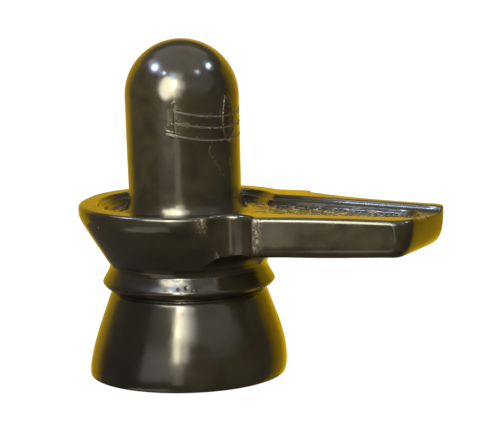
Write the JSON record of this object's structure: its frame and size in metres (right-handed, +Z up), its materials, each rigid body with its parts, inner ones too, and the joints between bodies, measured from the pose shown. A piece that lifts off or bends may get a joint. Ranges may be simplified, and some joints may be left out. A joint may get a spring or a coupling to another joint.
{
  "type": "shiva lingam",
  "caption": "Carved stone shiva lingam: a domed shaft in a round basin that pours into a long channelled spout, on a ringed, waisted foot; carved forehead lines and leaf.",
  "frame": {"origin": "centre of the round underside, on the shaft's axis", "axes": "+Z up along the shaft, +X along the spout towards its tip"},
  "size_m": [0.2237, 0.1304, 0.2025],
  "materials": {
    "black_stone": "polished and lightly oiled, dark olive-black, rough tool marks in the flutes and the spout's channel"
  },
  "bodies": {
    "root": {"shiva_lingam": "black_stone"}
  },
  "joints": []
}
